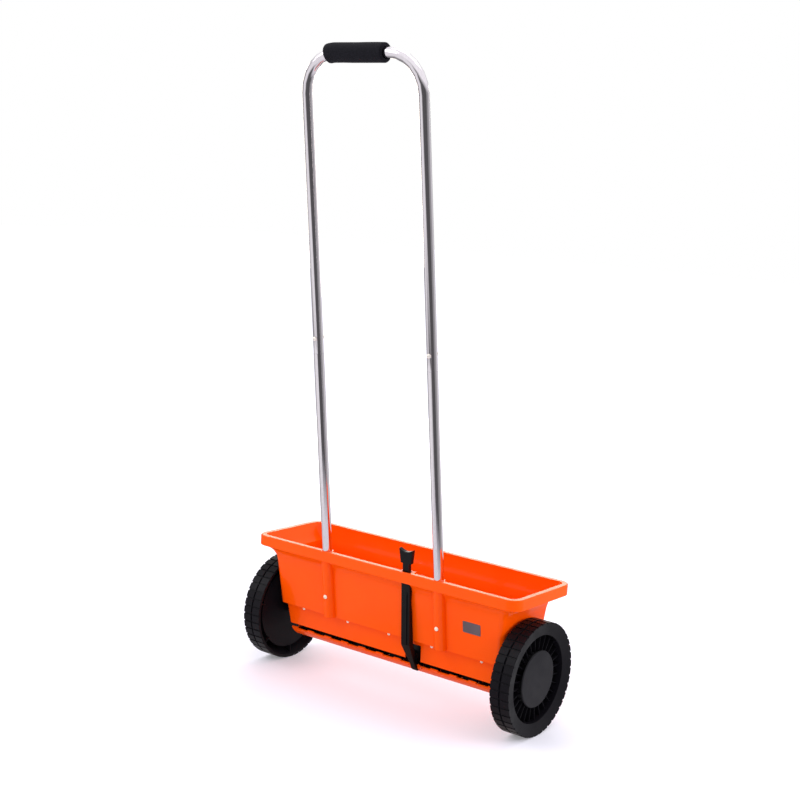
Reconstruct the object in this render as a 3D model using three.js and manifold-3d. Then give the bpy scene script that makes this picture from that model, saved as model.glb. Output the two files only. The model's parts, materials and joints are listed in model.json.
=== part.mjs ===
// Drop spreader: a hopper on two wheels whose axle turns a toothed metering roller under the hopper.
// A trough-shaped gate below the roller opens and closes the outlet slot; a lever pinned to the gate
// slides up through the rear rim. Millimetres, +Z up, +X to the right, +Y forward (away from the user).
// Everything is made about the axle's line: x from the middle, y and z from the axle. The last step lifts
// it by the wheel's radius, so that it stands on the ground.
import * as THREE from 'three';
import Module from 'manifold-3d';
import { mergeVertices } from 'three/addons/utils/BufferGeometryUtils.js';

const wasm = await Module();
wasm.setup();

// ---- driving dimensions ----

const GAP = 0.3; // between pieces that rest on each other
const HOLE_CLEARANCE = 0.3; // radial, round pins, screws and tubes
const HOLE_REACH = 20; // how far a hole through a tube or its boss is cut, each way

// wheels
const WHEEL_RADIUS = 100;
const WHEEL_WIDTH = 38;
const WHEEL_GAP = 10.6; // between the hopper's end and the wheel
const LUG_COUNT = 42;
const LUG_GROOVE = 3;
const LUG_DEPTH = 1.8;
const CENTRE_GROOVE = 3.2;
const CENTRE_GROOVE_DEPTH = 2.8;
const RECESS_RADIUS = 77.3;
const SIDEWALL_DISH = 5;
const TREAD_WALL = 5;
const WEB_THICKNESS = 3.2;
const WHEEL_RIBS = 28;
const POCKET_RIBS = 7;
const RIB_THICKNESS = 1.4;
const RIBS_BELOW_CAP = 6;
const HUB_RADIUS = 12;
const CAP_RADIUS = 50.4;
const CAP_DEPTH = 5.7; // below the wheel's outer face
const CAP_THICKNESS = 2.2;
const CAP_EDGE = 1.2;
const CAP_COLLAR = 2;
const CAP_COLLAR_LENGTH = 4;
const HUB_BELOW_CAP = 8.3;
const WEB_DEPTH = 9; // below the wheel's inner face

// axle
const AXLE_RADIUS = 5;
const DRIVE_PIN_RADIUS = 1.5;
const DRIVE_PIN_LENGTH = 21;
const WASHER_RADIUS = 11;
const WASHER_THICKNESS = 1.5;
const RETAINER_THICKNESS = 1.6;
const RETAINER_RADIUS = 8.5;
const AXLE_PAST_RETAINER = 1.6;

// roller
const ROLLER_HALF = 226.6; // the widths of the gate, the housing, the hopper and the axle follow from it
const ROLLER_RADIUS = 37.2;
const ROLLER_CORE = 32;
const ROLLER_RINGS = 11;
const ROLLER_TEETH = 9; // in each ring
const TOOTH_LENGTH = 27;
const TOOTH_TIP_ANGLE = 6.5; // degrees, half of the tooth
const TOOTH_FOOT_ANGLE = 8.5;

// hopper; heights are above the axle's line, here and below
const RIM_OVERHANG = 41.5; // at the ends, past the foot of the end walls
const RIM_REAR = 84.4;
const RIM_FRONT = 95.5;
const RIM_TOP = 152;
const RIM_CORNER = 23;
const RIM_LAND = 10;
const LIP_HEIGHT = 19;
const COVE_DROP = 30;
const WALL = 3;
const WALL_CORNER = 11;
const STEP_Z = 23.5; // underside of the hopper, where the housing starts
const STEP_LEDGE = 4.5; // at the ends, past the housing
const STEP_REAR = 53;
const STEP_FRONT = 53.5;
const END_DRAFT = 4.2; // degrees
const FRONT_KNEE_Z = 60;
const FRONT_KNEE = 74;
const FRONT_AT_COVE = 80;
const CORNER_STEPS = 4;
const NECK_BOTTOM = 12;
const NECK_WALL = 2.2;
const THROAT_PAST_ROLLER = 0.8;
const RIM_ROUND = 1.2;

// housing under the hopper
const SKIRT_PAST_GATE = 6.2; // at the ends, at the bottom
const SKIRT_END_FLARE = 9.5; // from the bottom to the top
const SKIRT_TOP_DEPTH = 41.5;
const SKIRT_BOTTOM_Z = -16.6;
const SKIRT_BOTTOM_DEPTH = 39.2;
const SKIRT_WALL = 2.4;
const SKIRT_CORNER = 6;
const APRON_INNER = 38.4;
const APRON_THICKNESS = 1.4;
const APRON_TOP_ANGLE = -94; // degrees from straight down, towards the rear
const APRON_FOOT_ANGLE = -24;
const BUSH_RADIUS = 7;
const BUSH_FLANGE_RADIUS = 10;
const BUSH_FLANGE = 2.5;
const BUSH_BOSS_RADIUS = 11.5;
const BUSH_BOSS_PROUD = 0.4; // of the skirt
const BUSH_BOSS_PAST_GATE = 2.5;

// gate
const GATE_PAST_ROLLER = 4.7; // at the ends
const GATE_INNER = 43.1;
const GATE_THICKNESS = 3;
const GATE_REAR_ANGLE = 58; // degrees from straight down, towards the rear
const GATE_FRONT_ANGLE = -52;
const GATE_NOTCH_ANGLE = 4.5; // depth of the notches in the rear edge, one at each ring of teeth
const GATE_NOTCH_LENGTH = 28;
const GATE_NOTCH_SLANT = 3;
const CHEEK_THICKNESS = 3;
const CHEEK_RING = 12;
const CHEEK_FRONT_ANGLE = -34;
const CHEEK_REAR_ANGLE = 37;
const GATE_PIN_RADIUS = 1.5;
const GATE_PIN_CIRCLE = 45;
const GATE_PIN_ANGLE = 50;
const KNUCKLE_RADIUS = 3.2;
const KNUCKLE_LENGTH = 5.4;

// lever
const LEVER_X = 57;
const LEVER_WIDTH = 18;
const LEVER_WALL = 2.6;
const LEVER_AT_RIM = 77; // rear face behind the axle line, at lever rim height
const LEVER_RIM_Z = 145;
const LEVER_BEND_REAR = 65.5;
const LEVER_BEND_Z = 17;
const LEVER_BODY_TOP = 140;
const LEVER_NECK_WIDTH = 13;
const LEVER_NECK_TOP = 167;
const LEVER_LOWER_KNEE = 80; // where its front edge turns in towards the slot
const LEVER_UPPER_KNEE = 92;
const LEVER_THICKNESS = 7.4; // of the neck and the head
const LEVER_BACK_RIB = 3.6; // half width
const LEVER_BACK_RIB_HEIGHT = 1.6;
const LEVER_HEAD_HEIGHT = 26;
const LEVER_HEAD_FOOT = 22;
const LEVER_HEAD_WIDTH = 29;
const LEVER_HEAD_DIP = 4.5;
const LEVER_SIDE_CLEARANCE = 0.8;
const LEVER_WALL_CLEARANCE = 1.9;
const LEVER_EYE_RADIUS = 7;
const LEVER_FOOT_WIDTH = 10; // at the eye; only the left side tapers in
const LEVER_NOTCH_HALF = 17; // room in the skirt for the lever and the gate's knuckles
const SLOT_REAR = 80;
const SLOT_FRONT = 66.6;
const SLOT_PAD_ABOVE_COVE = 12; // foot of the thicker wall round the slot
const PAD_BEHIND_SLOT = 1.4;

// handle
const HANDLE_LEAN = 8.73; // degrees, towards the user
const TUBE_RADIUS = 9;
const TUBE_WALL = 1.2;
const TUBE_X_AT_RIM = 125.9;
const TUBE_X_AT_TOP = 121.4;
const TUBE_Y_AT_RIM = -73.5;
const TUBE_BELOW_RIM = 114; // length of tube inside the hopper's boss
const TUBE_JOINT = 371; // along the tube, from the rim's top
const SPIGOT_LENGTH = 45;
const HANDLE_LENGTH = 884; // along the tube, from the rim's top to the cross bar's centre line
const BEND_RADIUS = 66;
const BOSS_RADIUS = 11.6;
const BOSS_SCREW_BELOW_RIM = 87.5;
const BOSS_SEAT_DEPTH = 0.7;
const BOSS_SEAT_CLEARANCE = 0.9;
const BOSS_FOOT = 22; // below the tube's end
const JOINT_SCREW_ABOVE = 27;
const GRIP_RADIUS = 16.5;
const GRIP_LEFT = 71; // from the middle, round the start of the left bend
const GRIP_RIGHT = 48;
const GRIP_CLEARANCE = 0.9;

// screws
const SCREW_RADIUS = 2;
const SCREW_HEAD_RADIUS = 4;
const SCREW_HEAD_HEIGHT = 2.6;
const NUT_RADIUS = 4.3;
const NUT_HEIGHT = 3.4;
const SCREW_PAST_NUT = 1.2;
const SKIRT_SCREW_RADIUS = 1.5;
const SKIRT_SCREW_HEAD = 3;
const SKIRT_SCREW_HEAD_HEIGHT = 2.2;
const SKIRT_SCREW_PAST_WIPER = 0.3;
const SKIRT_SCREW_Z = 18.6;
const SKIRT_SCREW_INNER = 96; // from the middle one
const SKIRT_SCREW_OUTER = 203;
const SKIRT_SCREW_SHIFT = 2; // of the row, to the right

// rubber wipers between the hopper's throat and the roller
const WIPER_THICKNESS = 1.3;
const WIPER_BOTTOM = 15.2;
const WIPER_ABOVE_STEP = 1.5;

// ---- values that follow ----

const rad = THREE.MathUtils.degToRad;
const X = new THREE.Vector3(1, 0, 0);
const Y = new THREE.Vector3(0, 1, 0);
const Z = new THREE.Vector3(0, 0, 1);
const AXLE_BORE = AXLE_RADIUS + HOLE_CLEARANCE;
const GATE_HALF = ROLLER_HALF + GATE_PAST_ROLLER;
const SKIRT_BOTTOM_HALF = GATE_HALF + SKIRT_PAST_GATE;
const SKIRT_TOP_HALF = SKIRT_BOTTOM_HALF + SKIRT_END_FLARE;
const STEP_HALF = SKIRT_TOP_HALF + STEP_LEDGE;
const RIM_HALF = STEP_HALF + RIM_OVERHANG;
const BUSH_SEAT = skirt(BUSH_FLANGE_RADIUS).x + BUSH_BOSS_PROUD; // outer face of the housing's bush boss
const HUB_INNER = BUSH_SEAT + GAP + BUSH_FLANGE + 2 * GAP;
const WHEEL_INNER_FACE = STEP_HALF + WHEEL_GAP;
const WHEEL_OUTER_FACE = WHEEL_INNER_FACE + WHEEL_WIDTH;
const CAP_FACE = WHEEL_OUTER_FACE - CAP_DEPTH;
const HUB_OUTER = CAP_FACE - HUB_BELOW_CAP;
const WASHER_X = HUB_OUTER + GAP;
const RETAINER_X = WASHER_X + WASHER_THICKNESS + GAP;
const AXLE_HALF = RETAINER_X + RETAINER_THICKNESS + AXLE_PAST_RETAINER;
const GATE_OUTER = GATE_INNER + GATE_THICKNESS;
const THROAT_HALF = ROLLER_HALF + THROAT_PAST_ROLLER;
const LIP_BOTTOM = RIM_TOP - LIP_HEIGHT;
const COVE_FOOT = LIP_BOTTOM - COVE_DROP;
const LEVER_LEAN = (LEVER_AT_RIM - LEVER_BEND_REAR) / (LEVER_RIM_Z - LEVER_BEND_Z);

// ---- making solids ----

function signedVolume(position, index) {
  const [a, b, c] = [new THREE.Vector3(), new THREE.Vector3(), new THREE.Vector3()];
  let sum = 0;
  for (let i = 0; i < index.length; i += 3) {
    a.fromArray(position, index[i] * 3);
    b.fromArray(position, index[i + 1] * 3);
    c.fromArray(position, index[i + 2] * 3);
    sum += a.dot(b.cross(c));
  }
  return sum / 6;
}

// A closed three.js geometry as a solid with its faces pointing out.
function solid(geometry) {
  const bare = geometry.clone();
  bare.deleteAttribute('normal');
  bare.deleteAttribute('uv');
  const merged = mergeVertices(bare, 1e-4);
  const position = Float32Array.from(merged.attributes.position.array);
  const corners = Array.from(merged.index.array);
  const index = [];
  for (let i = 0; i < corners.length; i += 3) {
    const [a, b, c] = corners.slice(i, i + 3);
    if (a !== b && b !== c && c !== a) index.push(a, b, c);
  }
  const outward = signedVolume(position, index) > 0;
  const triVerts = Uint32Array.from(outward ? index : index.reverse());
  return new wasm.Manifold(new wasm.Mesh({ numProp: 3, vertProperties: position, triVerts }));
}

function join(first, ...others) {
  return others.reduce((sum, next) => sum.add(next), first);
}

function cut(body, ...tools) {
  return tools.reduce((rest, tool) => rest.subtract(tool), body);
}

function block([x0, x1], [y0, y1], [z0, z1]) {
  const geometry = new THREE.BoxGeometry(x1 - x0, y1 - y0, z1 - z0);
  return solid(geometry.translate((x0 + x1) / 2, (y0 + y1) / 2, (z0 + z1) / 2));
}

// A profile of [along, radius] pairs turned about a line through origin.
function turned(profile, origin, direction, sides, start = 0) {
  const points = profile.map(([along, radius]) => new THREE.Vector2(radius, along));
  const geometry = new THREE.LatheGeometry(points, sides, start);
  geometry.applyQuaternion(new THREE.Quaternion().setFromUnitVectors(Y, direction));
  return solid(geometry.translate(origin.x, origin.y, origin.z));
}

function rod(origin, direction, from, to, radius, sides = 16) {
  return turned([[from, 0], [from, radius], [to, radius], [to, 0]], origin, direction, sides);
}

// A shape drawn in (y, z) and extruded along X.
function extrudeX(shape, [x0, x1], curveSegments = 6) {
  const options = { depth: x1 - x0, bevelEnabled: false, curveSegments };
  const geometry = new THREE.ExtrudeGeometry(shape, options);
  geometry.applyMatrix4(new THREE.Matrix4().makeBasis(Y, Z, X));
  return solid(geometry.translate(x0, 0, 0));
}

function polygon(points) {
  return new THREE.Shape(points.map(([a, b]) => new THREE.Vector2(a, b)));
}

// A ring of the axle's cross section between two angles, which count from straight down to the rear.
function sector(inner, outer, from, to) {
  const start = -rad(90 + from);
  const end = -rad(90 + to);
  const shape = new THREE.Shape();
  shape.absarc(0, 0, outer, start, end, true);
  shape.absarc(0, 0, inner, end, start, false);
  return shape;
}

function onAxleCircle(radius, angle) {
  return [-radius * Math.sin(rad(angle)), -radius * Math.cos(rad(angle))];
}

// A rounded rectangle at height z: half length x, depth behind and in front of the axle.
function outline({ x, rear, front, corner, z }) {
  const centres = [
    [x - corner, front - corner],
    [corner - x, front - corner],
    [corner - x, corner - rear],
    [x - corner, corner - rear],
  ];
  return centres.flatMap(([cx, cy], quarter) => {
    const arc = [];
    for (let i = 0; i <= CORNER_STEPS; i++) {
      const angle = (quarter + i / CORNER_STEPS) * (Math.PI / 2);
      arc.push(new THREE.Vector3(cx + corner * Math.cos(angle), cy + corner * Math.sin(angle), z));
    }
    return arc;
  });
}

// A wall that runs all the way round: outlines skinned one to the next, and the last to the first.
function wallThrough(stations) {
  const rings = stations.map(outline);
  const count = rings[0].length;
  const index = [];
  rings.forEach((_, i) => {
    const here = i * count;
    const next = ((i + 1) % rings.length) * count;
    for (let k = 0; k < count; k++) {
      const k1 = (k + 1) % count;
      index.push(here + k, here + k1, next + k1, here + k, next + k1, next + k);
    }
  });
  const geometry = new THREE.BufferGeometry().setFromPoints(rings.flat());
  return solid(geometry.setIndex(index));
}

function inset(station, by, z = station.z) {
  const corner = Math.max(station.corner - by, 1.5);
  return { x: station.x - by, rear: station.rear - by, front: station.front - by, corner, z };
}

// ---- hopper ----

function rearWall(z) {
  return STEP_REAR + (z - STEP_Z) * Math.tan(rad(HANDLE_LEAN));
}

function frontWall(z) {
  if (z < FRONT_KNEE_Z) {
    return THREE.MathUtils.mapLinear(z, STEP_Z, FRONT_KNEE_Z, STEP_FRONT, FRONT_KNEE);
  }
  return THREE.MathUtils.mapLinear(z, FRONT_KNEE_Z, COVE_FOOT, FRONT_KNEE, FRONT_AT_COVE);
}

function hopperWall(z) {
  const x = STEP_HALF + (z - STEP_Z) * Math.tan(rad(END_DRAFT));
  return { x, rear: rearWall(z), front: frontWall(z), corner: WALL_CORNER, z };
}

function rim(z) {
  return { x: RIM_HALF, rear: RIM_REAR, front: RIM_FRONT, corner: RIM_CORNER, z };
}

// The cove under the rim is a quarter ellipse: 0 degrees at the lip, 90 at the wall.
function cove(angle) {
  const foot = hopperWall(COVE_FOOT);
  const lip = rim(LIP_BOTTOM);
  const spread = 1 - Math.sin(rad(angle));
  const z = LIP_BOTTOM - COVE_DROP * (1 - Math.cos(rad(angle)));
  const between = (key) => foot[key] + (lip[key] - foot[key]) * spread;
  return { x: between('x'), rear: between('rear'), front: between('front'), corner: between('corner'), z };
}

// The neck hangs inside the housing's skirt.
function neck(z) {
  return inset(skirt(z), SKIRT_WALL + GAP);
}

function hopperShell() {
  const throat = { ...inset(neck(STEP_Z), NECK_WALL), x: THROAT_HALF };
  const outside = [
    neck(NECK_BOTTOM),
    neck(STEP_Z),
    hopperWall(STEP_Z),
    hopperWall(FRONT_KNEE_Z),
    ...[90, 66, 44, 22, 0].map(cove),
    rim(RIM_TOP - RIM_ROUND),
    inset(rim(RIM_TOP), RIM_ROUND),
  ];
  const inside = [
    inset(rim(RIM_TOP), RIM_LAND),
    ...[28, 58].map((angle) => inset(cove(angle), WALL, cove(angle).z + WALL)),
    inset(hopperWall(COVE_FOOT), WALL),
    inset(hopperWall(FRONT_KNEE_Z), WALL),
    inset(hopperWall(STEP_Z), WALL, STEP_Z + 8),
    { ...throat, z: STEP_Z + 2.2 },
    { ...throat, z: STEP_Z - 1 },
    inset(neck(STEP_Z - 1.2), NECK_WALL),
    inset(neck(NECK_BOTTOM), NECK_WALL),
  ];
  return wallThrough([...outside, ...inside]);
}

// ---- handle tubes ----

// Centre line of a tube: a point at the rim's top and its direction upwards; side is -1 or 1.
function tubeLine(side) {
  const origin = new THREE.Vector3(side * TUBE_X_AT_RIM, TUBE_Y_AT_RIM, RIM_TOP);
  const lean = rad(HANDLE_LEAN);
  const top = new THREE.Vector3(
    side * TUBE_X_AT_TOP,
    TUBE_Y_AT_RIM - HANDLE_LENGTH * Math.sin(lean),
    RIM_TOP + HANDLE_LENGTH * Math.cos(lean),
  );
  return { origin, top, direction: top.clone().sub(origin).normalize() };
}

function alongTube(side, distance) {
  const { origin, direction } = tubeLine(side);
  return origin.clone().addScaledVector(direction, distance);
}

// Square to both tubes, pointing to the user.
const REARWARD = new THREE.Vector3(0, -Math.cos(rad(HANDLE_LEAN)), -Math.sin(rad(HANDLE_LEAN)));

function screwHole(centre, radius) {
  return rod(centre, REARWARD, -HOLE_REACH, HOLE_REACH, radius + HOLE_CLEARANCE, 8);
}

function tubeBoss(side) {
  const { origin, direction } = tubeLine(side);
  return rod(origin, direction, -TUBE_BELOW_RIM - BOSS_FOOT, 0, BOSS_RADIUS, 16);
}

function tubeBore(side) {
  const { origin, direction } = tubeLine(side);
  return rod(origin, direction, -TUBE_BELOW_RIM, HOLE_REACH, TUBE_RADIUS + HOLE_CLEARANCE, 14);
}

// Flat seats on the boss, for the screw's head outside and its nut inside.
function bossSeats(side) {
  const centre = alongTube(side, -BOSS_SCREW_BELOW_RIM);
  const depth = BOSS_RADIUS - BOSS_SEAT_DEPTH;
  const radius = SCREW_HEAD_RADIUS + BOSS_SEAT_CLEARANCE;
  return [
    rod(centre, REARWARD, depth, depth + 8, radius, 8),
    rod(centre, REARWARD, -depth - 8, -depth, radius, 8),
  ];
}

function screwPositions() {
  const places = [-SKIRT_SCREW_OUTER, -SKIRT_SCREW_INNER, 0, SKIRT_SCREW_INNER, SKIRT_SCREW_OUTER];
  return places.map((x) => x + SKIRT_SCREW_SHIFT);
}

function skirtScrewHoles(front) {
  const direction = front ? Y : Y.clone().negate();
  return screwPositions().map((x) => {
    const centre = new THREE.Vector3(x, 0, SKIRT_SCREW_Z);
    return rod(centre, direction, ROLLER_CORE, STEP_REAR, SKIRT_SCREW_RADIUS + 2 * HOLE_CLEARANCE, 6);
  });
}

function hopperTub() {
  const across = [-RIM_FRONT, RIM_FRONT];
  const floor = block([-STEP_HALF, STEP_HALF], across, [-WHEEL_RADIUS, STEP_Z]);
  const crown = block([-STEP_HALF, STEP_HALF], across, [RIM_TOP, RIM_TOP + TUBE_BELOW_RIM]);
  const bosses = [-1, 1].map((side) => cut(tubeBoss(side), floor, crown));
  const half = LEVER_WIDTH / 2 + LEVER_SIDE_CLEARANCE;
  const padHalf = half + WALL;
  const padWidth = [LEVER_X - padHalf, LEVER_X + padHalf];
  const padFront = WALL - SLOT_FRONT;
  const pads = [
    block(padWidth, [-SLOT_FRONT - PAD_BEHIND_SLOT, padFront], [COVE_FOOT + SLOT_PAD_ABOVE_COVE, RIM_TOP]),
    block(padWidth, [WALL / 2 - LEVER_AT_RIM, padFront], [LIP_BOTTOM - WALL, RIM_TOP]),
  ];
  const slot = block([LEVER_X - half, LEVER_X + half], [-SLOT_REAR, -SLOT_FRONT], [COVE_FOOT, RIM_TOP + 5]);
  const holes = [-1, 1].flatMap((side) => [
    tubeBore(side),
    screwHole(alongTube(side, -BOSS_SCREW_BELOW_RIM), SCREW_RADIUS),
    ...bossSeats(side),
  ]);
  const body = join(hopperShell(), ...bosses, ...pads);
  return cut(body, slot, ...holes, ...skirtScrewHoles(false), ...skirtScrewHoles(true));
}

// ---- housing ----

function skirt(z) {
  const half = THREE.MathUtils.mapLinear(z, SKIRT_BOTTOM_Z, STEP_Z, SKIRT_BOTTOM_HALF, SKIRT_TOP_HALF);
  const depth = THREE.MathUtils.mapLinear(z, SKIRT_BOTTOM_Z, STEP_Z, SKIRT_BOTTOM_DEPTH, SKIRT_TOP_DEPTH);
  return { x: half, rear: depth, front: depth, corner: SKIRT_CORNER, z };
}

const AXLE_MIDDLE = new THREE.Vector3();

// A short cylinder on the axle's line, from x0 to x1.
function onAxle(x0, x1, radius, sides = 16) {
  return rod(AXLE_MIDDLE, X, x0, x1, radius, sides);
}

function meteringHousing() {
  const top = STEP_Z - GAP;
  const shell = wallThrough([
    skirt(SKIRT_BOTTOM_Z),
    skirt(top),
    inset(skirt(top), SKIRT_WALL),
    inset(skirt(SKIRT_BOTTOM_Z), SKIRT_WALL),
  ]);
  const apronHalf = ROLLER_HALF + 1;
  const apron = extrudeX(
    sector(APRON_INNER, APRON_INNER + APRON_THICKNESS, APRON_TOP_ANGLE, APRON_FOOT_ANGLE),
    [-apronHalf, apronHalf],
    4,
  );
  const bossInner = GATE_HALF + BUSH_BOSS_PAST_GATE;
  const bosses = [-1, 1].map((side) => {
    const ends = [side * bossInner, side * BUSH_SEAT].sort((a, b) => a - b);
    return onAxle(...ends, BUSH_BOSS_RADIUS, 16);
  });
  const bore = onAxle(-STEP_HALF, STEP_HALF, BUSH_RADIUS + HOLE_CLEARANCE, 16);
  const notch = block(
    [LEVER_X - LEVER_NOTCH_HALF, LEVER_X + LEVER_NOTCH_HALF],
    [-RIM_REAR, -ROLLER_CORE],
    [SKIRT_BOTTOM_Z - 5, STEP_Z - 6],
  );
  const screws = [...skirtScrewHoles(false), ...skirtScrewHoles(true)];
  return cut(join(shell, apron, ...bosses), bore, notch, ...screws);
}

function axleBush(side) {
  const flangeFace = BUSH_SEAT + GAP + BUSH_FLANGE;
  const sleeveEnd = ROLLER_HALF + 2 * GAP;
  const profile = [
    [sleeveEnd, AXLE_BORE],
    [sleeveEnd, BUSH_RADIUS],
    [BUSH_SEAT + GAP, BUSH_RADIUS],
    [BUSH_SEAT + GAP, BUSH_FLANGE_RADIUS],
    [flangeFace, BUSH_FLANGE_RADIUS],
    [flangeFace, AXLE_BORE],
    [sleeveEnd, AXLE_BORE],
  ];
  return turned(profile, AXLE_MIDDLE, X.clone().multiplyScalar(side), 16);
}

// The wiper's back lies against the neck's inner face where the neck is narrowest.
const WIPER_BACK = inset(neck(NECK_BOTTOM), NECK_WALL).rear - GAP;

function wiper(front) {
  const side = front ? 1 : -1;
  const faces = [side * (WIPER_BACK - WIPER_THICKNESS), side * WIPER_BACK].sort((a, b) => a - b);
  const half = ROLLER_HALF - 2 * GAP;
  const strip = block([-half, half], faces, [WIPER_BOTTOM, STEP_Z + WIPER_ABOVE_STEP]);
  return cut(strip, ...skirtScrewHoles(front));
}

// ---- roller and axle ----

// One tooth standing on the roller's core, at an angle round the axle.
function tooth(angle, from, length) {
  const shape = polygon([
    onAxleCircle(ROLLER_CORE - 2, angle - TOOTH_FOOT_ANGLE),
    onAxleCircle(ROLLER_RADIUS, angle - TOOTH_TIP_ANGLE),
    onAxleCircle(ROLLER_RADIUS, angle + TOOTH_TIP_ANGLE),
    onAxleCircle(ROLLER_CORE - 2, angle + TOOTH_FOOT_ANGLE),
  ]);
  return extrudeX(shape, [from, from + length]);
}

// Rings of teeth along a faceted core, each ring turned half a tooth from the next.
function meteringRoller() {
  const facets = 2 * ROLLER_TEETH;
  const ringPitch = (2 * ROLLER_HALF) / ROLLER_RINGS;
  const teeth = [];
  for (let ring = 0; ring < ROLLER_RINGS; ring++) {
    const from = -ROLLER_HALF + ring * ringPitch + (ringPitch - TOOTH_LENGTH) / 2;
    for (let i = 0; i < ROLLER_TEETH; i++) {
      teeth.push(tooth(((2 * i + (ring % 2)) * 360) / facets, from, TOOTH_LENGTH));
    }
  }
  const ends = [-ROLLER_HALF, ROLLER_HALF];
  const profile = [[ends[0], 0], [ends[0], ROLLER_CORE], [ends[1], ROLLER_CORE], [ends[1], 0]];
  const core = turned(profile, AXLE_MIDDLE, X, facets, Math.PI / facets);
  const bore = onAxle(-ROLLER_HALF - 1, ROLLER_HALF + 1, AXLE_BORE);
  return cut(join(core, ...teeth), bore, rollerPin(HOLE_CLEARANCE, ROLLER_RADIUS + 2));
}

// The pin that turns the roller with the axle stands between two rings of teeth.
function rollerPin(clearance = 0, reach = ROLLER_CORE - 3) {
  const x = -ROLLER_HALF + (2 * ROLLER_HALF) / ROLLER_RINGS;
  return rod(new THREE.Vector3(x, 0, 0), Z, -reach, reach, DRIVE_PIN_RADIUS + clearance, 10);
}

// The pin that turns the axle with the left wheel lies in a slot across the wheel's hub.
function wheelPin(clearance = 0, reach = DRIVE_PIN_LENGTH / 2) {
  const x = -(HUB_OUTER - DRIVE_PIN_RADIUS - 1);
  return rod(new THREE.Vector3(x, 0, 0), Z, -reach, reach, DRIVE_PIN_RADIUS + clearance, 10);
}

function axleRod() {
  const bar = onAxle(-AXLE_HALF, AXLE_HALF, AXLE_RADIUS);
  return cut(bar, rollerPin(HOLE_CLEARANCE), wheelPin(HOLE_CLEARANCE));
}

function collar(side, x, thickness, radius) {
  const profile = [[x, AXLE_BORE], [x, radius], [x + thickness, radius], [x + thickness, AXLE_BORE]];
  return turned([...profile, profile[0]], AXLE_MIDDLE, X.clone().multiplyScalar(side), 16);
}

// ---- wheels ----

function discProfile() {
  const inner = WHEEL_INNER_FACE;
  const outer = WHEEL_OUTER_FACE;
  const middle = (inner + outer) / 2;
  const tread = WHEEL_RADIUS / Math.cos(Math.PI / LUG_COUNT); // so that the flats lie on the wheel's radius
  const webInner = inner + WEB_DEPTH;
  const webOuter = webInner + WEB_THICKNESS;
  const pocket = RECESS_RADIUS + WEB_THICKNESS;
  return [
    [webInner, HUB_RADIUS - 3],
    [webInner, pocket],
    [outer - SIDEWALL_DISH - 2, pocket],
    [inner, WHEEL_RADIUS - TREAD_WALL],
    [inner, tread],
    [middle - CENTRE_GROOVE / 2, tread],
    [middle - CENTRE_GROOVE / 3, WHEEL_RADIUS - CENTRE_GROOVE_DEPTH],
    [middle + CENTRE_GROOVE / 3, WHEEL_RADIUS - CENTRE_GROOVE_DEPTH],
    [middle + CENTRE_GROOVE / 2, tread],
    [outer, tread],
    [outer - SIDEWALL_DISH, RECESS_RADIUS],
    [webOuter, RECESS_RADIUS - 1],
    [webOuter, HUB_RADIUS - 3],
    [webInner, HUB_RADIUS - 3],
  ];
}

// Thin blocks set round the wheel like spokes, from one radius to another.
function spokes(count, x, radii, thickness) {
  return Array.from({ length: count }, (_, i) => {
    const geometry = new THREE.BoxGeometry(x[1] - x[0], thickness, radii[1] - radii[0]);
    geometry.translate((x[0] + x[1]) / 2, 0, (radii[0] + radii[1]) / 2);
    geometry.rotateX((2 * Math.PI * (i + 0.5)) / count);
    return solid(geometry);
  });
}

function wheelSolid() {
  const webOuter = WHEEL_INNER_FACE + WEB_DEPTH + WEB_THICKNESS;
  const disc = turned(discProfile(), AXLE_MIDDLE, X, LUG_COUNT, Math.PI / LUG_COUNT);
  const hub = collar(1, HUB_INNER, HUB_OUTER - HUB_INNER, HUB_RADIUS);
  const ribs = spokes(
    WHEEL_RIBS,
    [webOuter - 1, CAP_FACE - RIBS_BELOW_CAP],
    [CAP_RADIUS - 3, RECESS_RADIUS + 1],
    RIB_THICKNESS,
  );
  const pocketRibs = spokes(
    POCKET_RIBS,
    [WHEEL_INNER_FACE + 4, WHEEL_OUTER_FACE - SIDEWALL_DISH],
    [RECESS_RADIUS + 2, WHEEL_RADIUS - TREAD_WALL + 1],
    RIB_THICKNESS,
  );
  const grooves = spokes(
    LUG_COUNT,
    [WHEEL_INNER_FACE - 1, WHEEL_OUTER_FACE + 1],
    [WHEEL_RADIUS - LUG_DEPTH, WHEEL_RADIUS + 2],
    LUG_GROOVE,
  );
  return cut(join(disc, hub, ...ribs, ...pocketRibs), ...grooves);
}

// The left wheel is the right one turned half round, with a slot across its hub for the drive pin.
function leftWheel(right) {
  const half = DRIVE_PIN_RADIUS + HOLE_CLEARANCE;
  const reach = DRIVE_PIN_LENGTH / 2 + 1;
  const depth = HUB_OUTER - 2 * DRIVE_PIN_RADIUS - 1 - HOLE_CLEARANCE;
  const slot = block([-HUB_OUTER - 1, -depth], [-half, half], [-reach, reach]);
  return cut(right.rotate([0, 0, 180]), slot);
}

// A disc with a short collar behind it that pushes on over the wheel's hub.
function hubCap(side) {
  const back = CAP_FACE - CAP_THICKNESS;
  const socket = HUB_RADIUS + GAP;
  const profile = [
    [back, 0],
    [back, socket],
    [HUB_OUTER - CAP_COLLAR_LENGTH, socket],
    [HUB_OUTER - CAP_COLLAR_LENGTH, socket + CAP_COLLAR],
    [back, socket + CAP_COLLAR],
    [back, CAP_RADIUS],
    [CAP_FACE, CAP_RADIUS - CAP_EDGE],
    [CAP_FACE, 0],
  ];
  return turned(profile, AXLE_MIDDLE, X.clone().multiplyScalar(side), 32);
}

// ---- gate and lever ----

const GATE_PIN_YZ = onAxleCircle(GATE_PIN_CIRCLE, GATE_PIN_ANGLE);
const GATE_PIN_LINE = new THREE.Vector3(0, ...GATE_PIN_YZ);

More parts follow.
